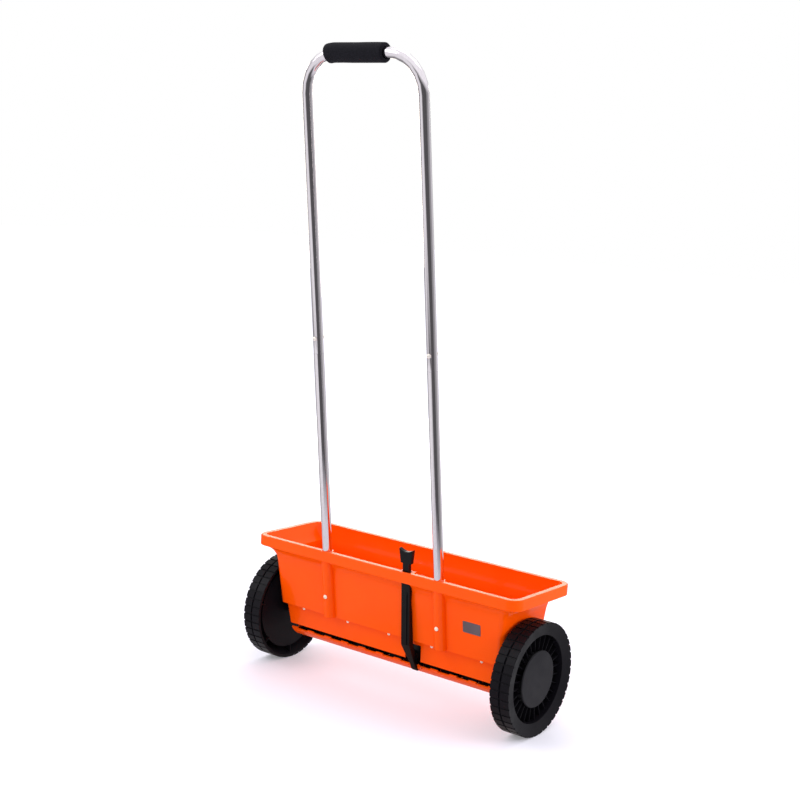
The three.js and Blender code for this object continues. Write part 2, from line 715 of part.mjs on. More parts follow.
function onGatePin(x0, x1, radius, sides = 14) {
  return rod(GATE_PIN_LINE, X, x0, x1, radius, sides);
}

// A wedge that takes one notch out of the gate's rear edge.
function gateNotch(ring) {
  const pitch = (2 * ROLLER_HALF) / ROLLER_RINGS;
  const middle = -ROLLER_HALF + (ring + 0.5) * pitch;
  const top = new THREE.Vector3(0, ...onAxleCircle(GATE_INNER, GATE_REAR_ANGLE));
  const depth = GATE_INNER * rad(GATE_NOTCH_ANGLE);
  const half = GATE_NOTCH_LENGTH / 2;
  const shape = polygon([
    [-half, 2],
    [GATE_NOTCH_SLANT - half, -depth],
    [half - GATE_NOTCH_SLANT, -depth],
    [half, 2],
  ]);
  const reach = 3 * GATE_THICKNESS;
  const geometry = new THREE.ExtrudeGeometry(shape, { depth: 2 * reach, bevelEnabled: false });
  geometry.translate(middle, 0, -reach);
  geometry.rotateX(rad(180 - GATE_REAR_ANGLE));
  return solid(geometry.translate(0, top.y, top.z));
}

function leverFoot() {
  const right = LEVER_X + LEVER_WIDTH / 2;
  return [right - LEVER_FOOT_WIDTH, right];
}

function leverSlotInGate() {
  const [left, right] = leverFoot();
  return [left - LEVER_SIDE_CLEARANCE, right + LEVER_SIDE_CLEARANCE];
}

function meteringGate() {
  const trough = extrudeX(
    sector(GATE_INNER, GATE_OUTER, GATE_FRONT_ANGLE, GATE_REAR_ANGLE),
    [-GATE_HALF, GATE_HALF],
  );
  const cheeks = [-1, 1].map((side) => {
    const faces = [side * (GATE_HALF - CHEEK_THICKNESS), side * GATE_HALF].sort((a, b) => a - b);
    const fan = sector(AXLE_RADIUS, GATE_INNER + 1, CHEEK_FRONT_ANGLE, CHEEK_REAR_ANGLE);
    const plate = extrudeX(fan, faces, 4);
    return join(plate, onAxle(...faces, CHEEK_RING, 20));
  });
  const [slot0, slot1] = leverSlotInGate();
  const knuckles = [
    onGatePin(slot0 - KNUCKLE_LENGTH, slot0, KNUCKLE_RADIUS),
    onGatePin(slot1, slot1 + KNUCKLE_LENGTH, KNUCKLE_RADIUS),
  ];
  const leverSlot = onGatePin(slot0, slot1, LEVER_EYE_RADIUS + 1.5, 20);
  const notches = Array.from({ length: ROLLER_RINGS }, (_, ring) => gateNotch(ring));
  const pinHole = onGatePin(slot0 - 10, slot1 + 10, GATE_PIN_RADIUS + HOLE_CLEARANCE, 12);
  const bushHole = onAxle(-STEP_HALF, STEP_HALF, BUSH_RADIUS + HOLE_CLEARANCE, 16);
  return cut(join(cut(trough, ...notches), ...cheeks, ...knuckles), leverSlot, pinHole, bushHole);
}

function gatePin() {
  const [slot0, slot1] = leverSlotInGate();
  return onGatePin(slot0 - KNUCKLE_LENGTH, slot1 + KNUCKLE_LENGTH, GATE_PIN_RADIUS, 12);
}

function leverRear(z) {
  return -LEVER_AT_RIM - (z - LEVER_RIM_Z) * LEVER_LEAN;
}

function leverSide(top) {
  const eyeRear = onAxleCircle(GATE_PIN_CIRCLE + LEVER_EYE_RADIUS, GATE_PIN_ANGLE + 2);
  const clearOfRoller = [2, 10, 18, 26].map((by) => onAxleCircle(ROLLER_RADIUS + 1, GATE_PIN_ANGLE + by));
  const beside = (z) => -rearWall(z) - LEVER_WALL_CLEARANCE;
  return polygon([
    [leverRear(top), top],
    [-LEVER_BEND_REAR, LEVER_BEND_Z],
    eyeRear,
    ...clearOfRoller,
    [-STEP_REAR + 2.5, STEP_Z - 15],
    [beside(STEP_Z), STEP_Z - 1],
    [beside(LEVER_LOWER_KNEE), LEVER_LOWER_KNEE],
    [-SLOT_FRONT - LEVER_SIDE_CLEARANCE, LEVER_UPPER_KNEE],
    [-SLOT_FRONT - 1, LIP_BOTTOM],
    [leverRear(top) + 7.5, top],
  ]);
}

// The lever is a channel that opens towards the hopper, with a closed rear face.
function leverChannel() {
  const inner = [LEVER_X - LEVER_WIDTH / 2 + LEVER_WALL, LEVER_X + LEVER_WIDTH / 2 - LEVER_WALL];
  const shape = polygon([
    [leverRear(LIP_BOTTOM) + LEVER_WALL, LIP_BOTTOM],
    [-LEVER_BEND_REAR + LEVER_WALL, LEVER_BEND_Z],
    [-LEVER_BEND_REAR + LEVER_WALL + 9, LEVER_BEND_Z - 16],
    [-ROLLER_RADIUS, LEVER_BEND_Z - 8],
    [-ROLLER_RADIUS, LIP_BOTTOM],
  ]);
  return extrudeX(shape, inner);
}

function leverHead() {
  const halfNeck = LEVER_NECK_WIDTH / 2;
  const foot = LEVER_NECK_TOP - LEVER_BODY_TOP;
  const top = foot + LEVER_HEAD_HEIGHT;
  const shape = new THREE.Shape();
  shape.moveTo(-halfNeck, -2);
  shape.lineTo(halfNeck, -2);
  shape.lineTo(halfNeck, foot);
  shape.lineTo(LEVER_HEAD_FOOT / 2, foot + 0.5);
  shape.lineTo(LEVER_HEAD_WIDTH / 2, top);
  shape.quadraticCurveTo(0, top - 2 * LEVER_HEAD_DIP, -LEVER_HEAD_WIDTH / 2, top);
  shape.lineTo(-LEVER_HEAD_FOOT / 2, foot + 0.5);
  shape.lineTo(-halfNeck, foot);
  shape.closePath();
  const depth = LEVER_THICKNESS;
  const geometry = new THREE.ExtrudeGeometry(shape, { depth, bevelEnabled: false, curveSegments: 8 });
  geometry.applyMatrix4(new THREE.Matrix4().makeBasis(X, Z, Y.clone().negate()));
  geometry.translate(0, depth, 0);
  geometry.rotateX(Math.atan(LEVER_LEAN));
  return solid(geometry.translate(LEVER_X, leverRear(LEVER_BODY_TOP), LEVER_BODY_TOP));
}

// What the taper takes off the left side of the foot, from the bend down to the eye.
function footTaper() {
  const left = LEVER_X - LEVER_WIDTH / 2 - 1;
  const [inner] = leverFoot();
  const shape = polygon([
    [left, LEVER_BEND_Z],
    [inner, GATE_PIN_LINE.z + LEVER_EYE_RADIUS],
    [inner, -WHEEL_RADIUS],
    [left, -WHEEL_RADIUS],
  ]);
  const geometry = new THREE.ExtrudeGeometry(shape, { depth: LEVER_AT_RIM, bevelEnabled: false });
  return solid(geometry.applyMatrix4(new THREE.Matrix4().makeBasis(X, Z, Y.clone().negate())));
}

function gateLever() {
  const half = LEVER_WIDTH / 2;
  const sides = [LEVER_X - half, LEVER_X + half];
  const body = cut(extrudeX(leverSide(LEVER_BODY_TOP), sides), leverChannel());
  const eye = onGatePin(...leverFoot(), LEVER_EYE_RADIUS, 20);
  const ribTop = COVE_FOOT + 14;
  const rib = extrudeX(
    polygon([
      [leverRear(ribTop) + 1, ribTop],
      [leverRear(ribTop) - 0.2, ribTop],
      [leverRear(ribTop - 8) - LEVER_BACK_RIB_HEIGHT, ribTop - 8],
      [-LEVER_BEND_REAR - LEVER_BACK_RIB_HEIGHT, LEVER_BEND_Z],
      [-LEVER_BEND_REAR + 1, LEVER_BEND_Z],
    ]),
    [LEVER_X - LEVER_BACK_RIB, LEVER_X + LEVER_BACK_RIB],
  );
  const pinHole = onGatePin(sides[0] - 1, sides[1] + 1, GATE_PIN_RADIUS + HOLE_CLEARANCE, 12);
  return cut(join(body, eye, rib, leverHead()), footTaper(), pinHole);
}

// ---- tubes, grip and fasteners ----

// A line of straight and bent legs, with a stop at each end of a straight leg and along each bend.
class BentLine extends THREE.Curve {
  constructor(legs) {
    super();
    this.stops = legs.flatMap(({ curve, steps }) => {
      return Array.from({ length: steps }, (_, i) => [curve, i / steps]);
    });
    this.stops.push([legs.at(-1).curve, 1]);
  }

  getPointAt(t, target = new THREE.Vector3()) {
    const [curve, at] = this.stops[Math.round(t * (this.stops.length - 1))];
    return target.copy(curve.getPoint(at));
  }

  getTangentAt(t, target = new THREE.Vector3()) {
    const [curve, at] = this.stops[Math.round(t * (this.stops.length - 1))];
    return target.copy(curve.getTangent(at));
  }
}

// A round bend from one direction into another, starting at a given point.
class Bend extends THREE.Curve {
  constructor(start, from, to, radius, share = 1) {
    super();
    this.start = start;
    this.from = from.clone().normalize();
    this.inward = to.clone().addScaledVector(this.from, -to.dot(this.from)).normalize();
    this.angle = share * this.from.angleTo(to);
    this.radius = radius;
  }

  getPoint(t, target = new THREE.Vector3()) {
    const angle = t * this.angle;
    target.copy(this.start).addScaledVector(this.from, this.radius * Math.sin(angle));
    return target.addScaledVector(this.inward, this.radius * (1 - Math.cos(angle)));
  }

  getTangent(t, target = new THREE.Vector3()) {
    const angle = t * this.angle;
    target.copy(this.from).multiplyScalar(Math.cos(angle));
    return target.addScaledVector(this.inward, Math.sin(angle));
  }
}

function pipe(line, outer, inner, curveSegments = 6) {
  const shape = new THREE.Shape();
  shape.absarc(0, 0, outer, 0, 2 * Math.PI, false);
  const hole = new THREE.Path();
  hole.absarc(0, 0, inner, 0, 2 * Math.PI, true);
  shape.holes.push(hole);
  const steps = line.stops.length - 1;
  const options = { steps, bevelEnabled: false, extrudePath: line, curveSegments };
  return solid(new THREE.ExtrudeGeometry(shape, options));
}

// Where a tube's straight leg ends below the cross bar.
function bendStart(side) {
  const { top, direction } = tubeLine(side);
  const inward = new THREE.Vector3(-side, 0, 0);
  const reach = BEND_RADIUS * Math.tan(direction.angleTo(inward) / 2);
  return top.clone().addScaledVector(direction, -reach);
}

function handleTube() {
  const up = tubeLine(-1).direction;
  const down = tubeLine(1).direction.clone().negate();
  const firstBend = new Bend(bendStart(-1), up, X, BEND_RADIUS);
  const lastBend = new Bend(bendStart(1), down.clone().negate(), X.clone().negate(), BEND_RADIUS);
  const barEnd = lastBend.getPoint(1);
  const secondBend = new Bend(barEnd, X, down, BEND_RADIUS);
  const line = new BentLine([
    { curve: new THREE.LineCurve3(alongTube(-1, TUBE_JOINT), firstBend.getPoint(0)), steps: 1 },
    { curve: firstBend, steps: 6 },
    { curve: new THREE.LineCurve3(firstBend.getPoint(1), barEnd), steps: 1 },
    { curve: secondBend, steps: 6 },
    { curve: new THREE.LineCurve3(secondBend.getPoint(1), alongTube(1, TUBE_JOINT)), steps: 1 },
  ]);
  const tube = pipe(line, TUBE_RADIUS, TUBE_RADIUS - TUBE_WALL);
  return cut(tube, ...[-1, 1].map((side) => screwHole(jointScrewCentre(side), SCREW_RADIUS)));
}

// The foam sleeve follows the cross bar and the start of the left bend.
function foamGrip() {
  const up = tubeLine(-1).direction;
  const intoBar = new Bend(bendStart(-1), up, X, BEND_RADIUS);
  const barStart = intoBar.getPoint(1);
  const share = (GRIP_LEFT + barStart.x) / BEND_RADIUS / intoBar.angle;
  const outOfBar = new Bend(barStart, X.clone().negate(), up.clone().negate(), BEND_RADIUS, share);
  const gripStart = new Bend(outOfBar.getPoint(1), outOfBar.getTangent(1).negate(), X, BEND_RADIUS);
  const gripEnd = new THREE.Vector3(GRIP_RIGHT, barStart.y, barStart.z);
  const line = new BentLine([
    { curve: gripStart, steps: 3 },
    { curve: new THREE.LineCurve3(barStart, gripEnd), steps: 1 },
  ]);
  return pipe(line, GRIP_RADIUS, TUBE_RADIUS + GRIP_CLEARANCE, 6);
}

function jointScrewCentre(side) {
  return alongTube(side, TUBE_JOINT + JOINT_SCREW_ABOVE);
}

function lowerTube(side) {
  const { origin, direction } = tubeLine(side);
  const inner = TUBE_RADIUS - TUBE_WALL;
  const spigot = inner - GAP;
  const bottom = GAP - TUBE_BELOW_RIM;
  const shoulder = TUBE_JOINT - GAP;
  const profile = [
    [bottom, inner],
    [bottom, TUBE_RADIUS],
    [shoulder, TUBE_RADIUS],
    [shoulder, spigot],
    [TUBE_JOINT + SPIGOT_LENGTH, spigot],
    [TUBE_JOINT + SPIGOT_LENGTH, spigot - TUBE_WALL],
    [shoulder - 2, spigot - TUBE_WALL],
    [shoulder - 4, inner],
    [bottom, inner],
  ];
  const tube = turned(profile, origin, direction, 14);
  const centres = [alongTube(side, -BOSS_SCREW_BELOW_RIM), jointScrewCentre(side)];
  return cut(tube, ...centres.map((centre) => screwHole(centre, SCREW_RADIUS)));
}

// A pan-head screw whose head sits a given distance out along its axis and whose tip reaches to `tip`.
function screw(centre, direction, seat, tip, radius, headRadius, headHeight) {
  const profile = [
    [tip, 0],
    [tip, radius],
    [seat, radius],
    [seat, headRadius],
    [seat + headHeight, headRadius * 0.6],
    [seat + headHeight, 0],
  ];
  return turned(profile, centre, direction, 8);
}

function nut(centre, direction, from) {
  const body = rod(centre, direction, from, from + NUT_HEIGHT, NUT_RADIUS, 6);
  return cut(body, rod(centre, direction, from - 1, from + NUT_HEIGHT + 1, SCREW_RADIUS + HOLE_CLEARANCE, 8));
}

function throughScrew(centre, seat) {
  const tip = -seat - NUT_HEIGHT - SCREW_PAST_NUT;
  return screw(centre, REARWARD, seat, tip, SCREW_RADIUS, SCREW_HEAD_RADIUS, SCREW_HEAD_HEIGHT);
}

function throughNut(centre, seat) {
  return nut(centre, REARWARD.clone().negate(), seat);
}

function skirtScrew(x, front) {
  const direction = front ? Y : Y.clone().negate();
  const centre = new THREE.Vector3(x, 0, SKIRT_SCREW_Z);
  const seat = skirt(SKIRT_SCREW_Z).rear + GAP;
  const tip = WIPER_BACK - WIPER_THICKNESS - SKIRT_SCREW_PAST_WIPER;
  return screw(centre, direction, seat, tip, SKIRT_SCREW_RADIUS, SKIRT_SCREW_HEAD, SKIRT_SCREW_HEAD_HEIGHT);
}

// ---- materials and assembly ----

const MATERIALS = {
  orange: { color: 0xfa5221, roughness: 0.35, metalness: 0 },
  black: { color: 0x222126, roughness: 0.45, metalness: 0 },
  tyre: { color: 0x2e2d31, roughness: 0.6, metalness: 0 },
  cap: { color: 0x3a393e, roughness: 0.5, metalness: 0 },
  chrome: { color: 0xd5d0d6, roughness: 0.12, metalness: 1 },
  steel: { color: 0xb9b7ba, roughness: 0.3, metalness: 1 },
  nylon: { color: 0xe6e2d8, roughness: 0.5, metalness: 0 },
  foam: { color: 0x201f27, roughness: 0.95, metalness: 0 },
  rubber: { color: 0x19191b, roughness: 0.85, metalness: 0 },
};

const spreader = new THREE.Group();

function place(name, manifold, material, parent = spreader) {
  const { vertProperties, triVerts } = manifold.getMesh();
  const geometry = new THREE.BufferGeometry();
  geometry.setAttribute('position', new THREE.BufferAttribute(Float32Array.from(vertProperties), 3));
  geometry.setIndex(new THREE.BufferAttribute(Uint32Array.from(triVerts), 1));
  geometry.computeVertexNormals();
  const mesh = new THREE.Mesh(geometry, new THREE.MeshStandardMaterial(MATERIALS[material]));
  mesh.name = name;
  parent.add(mesh);
}

function placeFrame() {
  place('hopper_tub', hopperTub(), 'orange');
  place('metering_housing', meteringHousing(), 'orange');
  place('roller_wiper_rear', wiper(false), 'rubber');
  place('roller_wiper_front', wiper(true), 'rubber');
  place('handle_tube', handleTube(), 'chrome');
  place('foam_grip', foamGrip(), 'foam');
}

function placeSides() {
  for (const [side, hand] of [[-1, 'left'], [1, 'right']]) {
    const bossScrew = alongTube(side, -BOSS_SCREW_BELOW_RIM);
    const bossSeat = BOSS_RADIUS - BOSS_SEAT_DEPTH + GAP;
    const tubeSeat = TUBE_RADIUS + GAP;
    place(`axle_bush_${hand}`, axleBush(side), 'nylon');
    place(`lower_tube_${hand}`, lowerTube(side), 'chrome');
    place(`boss_screw_${hand}`, throughScrew(bossScrew, bossSeat), 'steel');
    place(`boss_nut_${hand}`, throughNut(bossScrew, bossSeat), 'steel');
    place(`joint_screw_${hand}`, throughScrew(jointScrewCentre(side), tubeSeat), 'steel');
    place(`joint_nut_${hand}`, throughNut(jointScrewCentre(side), tubeSeat), 'steel');
    place(`hub_cap_${hand}`, hubCap(side), 'cap');
    place(`wheel_washer_${hand}`, collar(side, WASHER_X, WASHER_THICKNESS, WASHER_RADIUS), 'steel');
    place(`wheel_retainer_${hand}`, collar(side, RETAINER_X, RETAINER_THICKNESS, RETAINER_RADIUS), 'steel');
  }
}

function placeSkirtScrews() {
  screwPositions().forEach((x, i) => {
    place(`rear_skirt_screw_${i + 1}`, skirtScrew(x, false), 'steel');
    place(`front_skirt_screw_${i + 1}`, skirtScrew(x, true), 'steel');
  });
}

function placeDrive() {
  const wheel = wheelSolid();
  place('axle_rod', axleRod(), 'steel');
  place('metering_roller', meteringRoller(), 'black');
  place('roller_pin', rollerPin(), 'steel');
  place('wheel_drive_pin', wheelPin(), 'steel');
  place('wheel_left', leftWheel(wheel), 'tyre');
  place('wheel_right', wheel, 'tyre');
}

function placeGate() {
  place('metering_gate', meteringGate(), 'orange');
  place('gate_pin', gatePin(), 'steel');
  place('gate_lever', gateLever(), 'black');
}

placeFrame();
placeSides();
placeSkirtScrews();
placeDrive();
placeGate();

// The origin is on the ground below the middle of the whole outline.
const middle = new THREE.Box3().setFromObject(spreader).getCenter(new THREE.Vector3());
spreader.position.set(0, -middle.y, WHEEL_RADIUS);

export default spreader;
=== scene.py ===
"""Looks of the garden drop spreader: materials, finer surfaces, light, floor and camera."""

import json
import math

import bmesh
import bpy
from mathutils import Matrix, Vector, noise

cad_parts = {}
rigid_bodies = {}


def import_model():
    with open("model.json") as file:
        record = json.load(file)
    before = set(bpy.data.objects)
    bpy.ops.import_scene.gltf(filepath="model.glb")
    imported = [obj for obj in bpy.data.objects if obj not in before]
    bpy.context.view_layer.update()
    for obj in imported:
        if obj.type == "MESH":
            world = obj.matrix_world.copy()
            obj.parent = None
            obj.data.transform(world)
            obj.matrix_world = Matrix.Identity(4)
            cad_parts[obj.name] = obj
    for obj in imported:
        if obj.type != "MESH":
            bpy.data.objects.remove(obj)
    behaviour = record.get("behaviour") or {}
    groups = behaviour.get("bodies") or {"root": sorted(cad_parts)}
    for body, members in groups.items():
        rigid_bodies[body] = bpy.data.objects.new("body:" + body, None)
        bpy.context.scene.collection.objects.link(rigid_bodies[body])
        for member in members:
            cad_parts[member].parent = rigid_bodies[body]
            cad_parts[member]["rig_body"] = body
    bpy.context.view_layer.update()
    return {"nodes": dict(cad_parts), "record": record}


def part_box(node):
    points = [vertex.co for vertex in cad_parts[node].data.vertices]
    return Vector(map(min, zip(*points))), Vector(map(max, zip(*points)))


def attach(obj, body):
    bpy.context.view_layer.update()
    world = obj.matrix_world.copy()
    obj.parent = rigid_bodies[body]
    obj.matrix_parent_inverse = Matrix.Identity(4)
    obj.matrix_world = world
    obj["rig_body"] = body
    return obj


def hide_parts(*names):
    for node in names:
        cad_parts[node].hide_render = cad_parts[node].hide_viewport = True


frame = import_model()
NODES = frame["nodes"]

# ---- directions; +Y is forward, away from the user ----

LEAN = math.radians(8.73)  # of the handle and the hopper's rear wall, towards the user
RIGHT = Vector((1, 0, 0))
FORWARD = Vector((0, 1, 0))
REARWARD = Vector((0, -math.cos(LEAN), -math.sin(LEAN)))  # square to the tubes and the rear wall
DOWN_TUBE = Vector((0, math.sin(LEAN), -math.cos(LEAN)))

# ---- sizes, in metres ----

BEND_RADIUS = 0.066
BAR_HALF = 0.0551  # straight part of the cross bar

GRIP_LEFT, GRIP_RIGHT = 0.071, 0.048  # along the bar from the middle
GRIP_RADIUS, GRIP_BORE = 0.0165, 0.0099
GRIP_END_ROUND = 0.0022
GRIP_END_TURNS = (22, 45, 68, 90)  # degrees
GRIP_STEPS, BORE_STEPS, GRIP_SIDES = 46, 12, 56
GRIP_SWELL, GRIP_SUNK = 0.00028, 0.00015  # the foam's slow unevenness, and how far it sits in
GRIP_WAVES = 40  # per metre

SKIRT_HEAD = (0.003, 0.0022)  # radius and height of a screw's head
TUBE_HEAD = (0.004, 0.0026)
SCREW_SIDES = 28
SCREW_POINT = 0.4  # shares of the shank's radius
HEAD_UNDERSIDE, HEAD_CROWN = 0.96, 0.15  # shares of the head's radius
HEAD_LEVELS = (0.04, 0.25, 0.5, 0.72, 0.88, 0.97)  # shares of the head's height
HEAD_ROUNDNESS = 2.6
TOP_TOLERANCE = 2e-5
RECESS_REACH, RECESS_DEPTH = 0.36, 0.4  # shares of the head's radius and height
RECESS_ARM = 0.26  # half an arm's width, as a share of its length
RECESS_LIFT = 0.0004  # how far the cutter starts above the head
RECESS_MOUTH, RECESS_FLOOR = 1.1, 0.6  # the cutter's taper

LABEL_MIDDLE = Vector((0.1925, 0.0006, 0.1785))
LABEL_HALF_WIDTH, LABEL_HALF_HEIGHT, LABEL_CORNER = 0.0183, 0.0103, 0.0018
LABEL_PROFILE = (  # inset and level: a raised edge round a lower face
    (0, -0.0003),
    (0, 0.0005),
    (0.0002, 0.0007),
    (0.0007, 0.0007),
    (0.0009, 0.0005),
)
CORNERS = ((1, 1), (-1, 1), (-1, -1), (1, -1))
CORNER_STEPS = 4

MERGE = 1e-6
FLAT_ANGLE = 0.6  # degrees between faces that count as one
SHARP_ANGLE = 35
EDGE = 0.0005  # width of a rounded edge
EDGES = {
    "hopper_tub": 0.0009,
    "metering_housing": 0.0006,
    "gate_lever": 0.0006,
    "axle_rod": 0.0004,
    "handle_tube": 0.0007,
}


# ---- materials ----


class Tree:
    """A node tree, with short calls for the nodes that the looks share."""

    def __init__(self, tree):
        self.tree = tree

    def fill(self, node, inputs):
        """Links the inputs that are sockets and sets the others."""
        for key, value in inputs.items():
            if isinstance(value, bpy.types.NodeSocket):
                self.tree.links.new(value, node.inputs[key])
            else:
                node.inputs[key].default_value = value

    def add(self, kind, inputs=None, operation=None):
        node = self.tree.nodes.new("ShaderNode" + kind)
        if operation:
            node.operation = operation
        self.fill(node, inputs or {})
        return node

    def remap(self, value, low, high, start=0.35, end=0.65):
        """From low at start to high at end, and level outside them."""
        span = {"From Min": start, "From Max": end, "To Min": low, "To Max": high}
        return self.add("MapRange", {"Value": value, **span}).outputs["Result"]

    def mixed(self, factor, first, second):
        inputs = {"Fac": factor, "Color1": first, "Color2": second}
        return self.add("MixRGB", inputs).outputs["Color"]


class Surface(Tree):
    """A new material's node tree round its Principled shader."""

    def __init__(self, name):
        self.material = bpy.data.materials.new(name)
        self.material.use_nodes = True
        super().__init__(self.material.node_tree)
        self.shader = self.tree.nodes["Principled BSDF"]
        self.coords = self.add("TexCoord").outputs["Object"]

    def set(self, **inputs):
        self.fill(self.shader, {key.replace("_", " "): value for key, value in inputs.items()})

    def stretched(self, scale):
        return self.add("Mapping", {"Vector": self.coords, "Scale": scale}).outputs["Vector"]

    def noise(self, scale, detail, roughness=0.55, vector=None):
        inputs = {"Scale": scale, "Detail": detail, "Roughness": roughness}
        inputs["Vector"] = vector or self.coords
        return self.add("TexNoise", inputs).outputs["Fac"]

    def cells(self, scale):
        inputs = {"Scale": scale, "Vector": self.coords}
        return self.add("TexVoronoi", inputs).outputs["Distance"]

    def shades(self, value, first, second):
        """From the first colour to the second over the middle third of a noise."""
        node = self.add("ValToRGB", {"Fac": value})
        stops = node.color_ramp.elements
        for stop, position, colour in zip(stops, (0.35, 0.65), (first, second)):
            stop.position = position
            stop.color = (*colour, 1)
        return node.outputs["Color"]

    def bump(self, *layers):
        """Layers are (height, strength, distance in metres), one on top of another."""
        normal = None
        for height, strength, distance in layers:
            inputs = {"Height": height, "Strength": strength, "Distance": distance}
            if normal:
                inputs["Normal"] = normal
            normal = self.add("Bump", inputs).outputs["Normal"]
        self.set(Normal=normal)


def moulded_plastic(name, light, dark, roughness, grain, gloss=0.5, coat=0.0):
    """Two close shades in slow clouds, a faint flow of the mould and a fine grain."""
    m = Surface(name)
    clouds = m.noise(scale=9, detail=3)
    patches = m.noise(scale=38, detail=6)
    flow = m.noise(scale=5, detail=2)
    fine = m.noise(scale=1400, detail=2)
    m.set(Base_Color=m.shades(clouds, dark, light), Roughness=m.remap(patches, *roughness))
    m.bump((flow, 0.12, 0.0005), (fine, grain, 0.00005))
    m.set(IOR=1.5, Specular_IOR_Level=gloss, Coat_Weight=coat, Coat_Roughness=0.06)
    return m.material


def bright_metal(name, light, dark, roughness, along, metallic=1.0):
    """Drawn or plated metal, its marks stretched by along."""
    m = Surface(name)
    drawn = m.noise(scale=1.0, detail=5, roughness=0.6, vector=m.stretched(along))
    waves = m.noise(scale=60, detail=3)
    m.set(Base_Color=m.shades(drawn, dark, light), Roughness=m.remap(drawn, *roughness))
    m.bump((drawn, 0.05, 0.00003), (waves, 0.06, 0.0001))
    m.set(Metallic=metallic)
    return m.material


def foam():
    m = Surface("closed_cell_foam")
    speckle = m.noise(scale=260, detail=6, roughness=0.7)
    dents = m.noise(scale=45, detail=3)
    skin = m.noise(scale=2200, detail=3)
    m.set(Base_Color=m.shades(speckle, (0.004, 0.004, 0.0065), (0.009, 0.0085, 0.013)))
    m.bump((dents, 0.4, 0.001), (m.cells(900), 0.5, 0.0003), (skin, 0.3, 0.0002))
    m.set(Roughness=0.9, Specular_IOR_Level=0.12, Sheen_Weight=0.03, Sheen_Roughness=0.6)
    return m.material


def rubber():
    m = Surface("wiper_rubber")
    clouds = m.noise(scale=40, detail=4)
    fine = m.noise(scale=900, detail=3)
    m.set(Base_Color=m.shades(clouds, (0.006, 0.006, 0.007), (0.014, 0.014, 0.015)))
    m.bump((fine, 0.3, 0.0001))
    m.set(Roughness=0.8)
    return m.material


LOOKS = {
    "orange_plastic": moulded_plastic(
        "orange_plastic",
        light=(1.0, 0.097, 0.0),
        dark=(1.0, 0.088, 0.0),
        roughness=(0.28, 0.38),
        grain=0.05,
        gloss=0.05,
        coat=0.24,
    ),
    "black_plastic": moulded_plastic(
        "black_plastic",
        light=(0.004, 0.004, 0.005),
        dark=(0.002, 0.002, 0.003),
        roughness=(0.25, 0.4),
        grain=0.2,
        gloss=0.16,
    ),
    "wheel_plastic": moulded_plastic(
        "wheel_plastic",
        light=(0.008, 0.007, 0.0095),
        dark=(0.005, 0.0045, 0.0065),
        roughness=(0.32, 0.44),
        grain=0.2,
        gloss=0.08,
    ),
    "cap_plastic": moulded_plastic(
        "cap_plastic",
        light=(0.019, 0.018, 0.021),
        dark=(0.013, 0.0125, 0.0155),
        roughness=(0.42, 0.55),
        grain=0.4,
        gloss=0.1,
    ),
    "nylon": moulded_plastic(
        "nylon",
        light=(0.8, 0.77, 0.7),
        dark=(0.72, 0.69, 0.62),
        roughness=(0.4, 0.5),
        grain=0.2,
    ),
    "bright_tube": bright_metal(
        "bright_tube",
        light=(0.9, 0.85, 0.91),
        dark=(0.8, 0.75, 0.81),
        roughness=(0.05, 0.11),
        along=(900, 900, 6),
    ),
    # Its cream tint and half-diffuse finish are partly a painted highlight and painted orange
    # bounce light on the screw heads.
    "zinc_steel": bright_metal(
        "zinc_steel",
        light=(0.97, 0.92, 0.86),
        dark=(0.88, 0.83, 0.76),
        roughness=(0.45, 0.6),
        along=(300, 300, 300),
        metallic=0.4,
    ),
    "foam": foam(),
    "wiper_rubber": rubber(),
}

# The screws in the hopper are warmer and brighter than the rest of the zinc: partly a yellow zinc
# tint, partly a painted highlight and orange bounce light, so that heads in shade still look
# bright.
YELLOW_ZINC_AND_PAINTED_GLINT = bright_metal(
    "zinc_heads_painted_glint",
    light=(1.0, 0.9, 0.74),
    dark=(0.96, 0.84, 0.68),
    roughness=(0.3, 0.45),
    along=(300, 300, 300),
    metallic=0.1,
)

PLATE = moulded_plastic(
    "blank_plate",
    light=(0.16, 0.13, 0.145),
    dark=(0.1, 0.08, 0.09),
    roughness=(0.3, 0.5),
    grain=0.2,
    gloss=0.4,
)

SLOT_OF = {row["node"]: row["material_slot"] for row in frame["record"]["subparts"]}


# ---- pieces ----


def dress(obj, node, look=None):
    """obj stands for a CAD node: it rides on the node's body and gets the material of the node's
    slot, or the look given.
    """
    obj.data.materials.clear()
    obj.data.materials.append(look or LOOKS[SLOT_OF[node]])
    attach(obj, NODES[node]["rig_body"])
    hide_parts(node)


def new_object(name, bm):
    mesh = bpy.data.meshes.new(name)
    bm.to_mesh(mesh)
    bm.free()
    obj = bpy.data.objects.new(name, mesh)
    bpy.context.scene.collection.objects.link(obj)
    return obj


def smooth(obj, sharp=SHARP_ANGLE):
    obj.data.shade_smooth()
    obj.data.set_sharp_from_angle(angle=math.radians(sharp))


def soft_edges(obj, width):
    bevel = obj.modifiers.new("soft_edges", "BEVEL")
    bevel.width = width
    bevel.segments = 2
    bevel.limit_method = "ANGLE"
    bevel.angle_limit = math.radians(SHARP_ANGLE)
    weighted = obj.modifiers.new("even_normals", "WEIGHTED_NORMAL")
    weighted.keep_sharp = True


def refined(node, width):
    """The node's own solid with its flat faces joined up, rounded edges and smooth shading."""
    bm = bmesh.new()
    bm.from_mesh(NODES[node].data)
    bmesh.ops.remove_doubles(bm, verts=bm.verts, dist=MERGE)
    flat = math.radians(FLAT_ANGLE)
    bmesh.ops.dissolve_limit(bm, angle_limit=flat, verts=bm.verts, edges=bm.edges)
    obj = new_object(node + "_surface", bm)
    smooth(obj)
    soft_edges(obj, width)
    dress(obj, node)


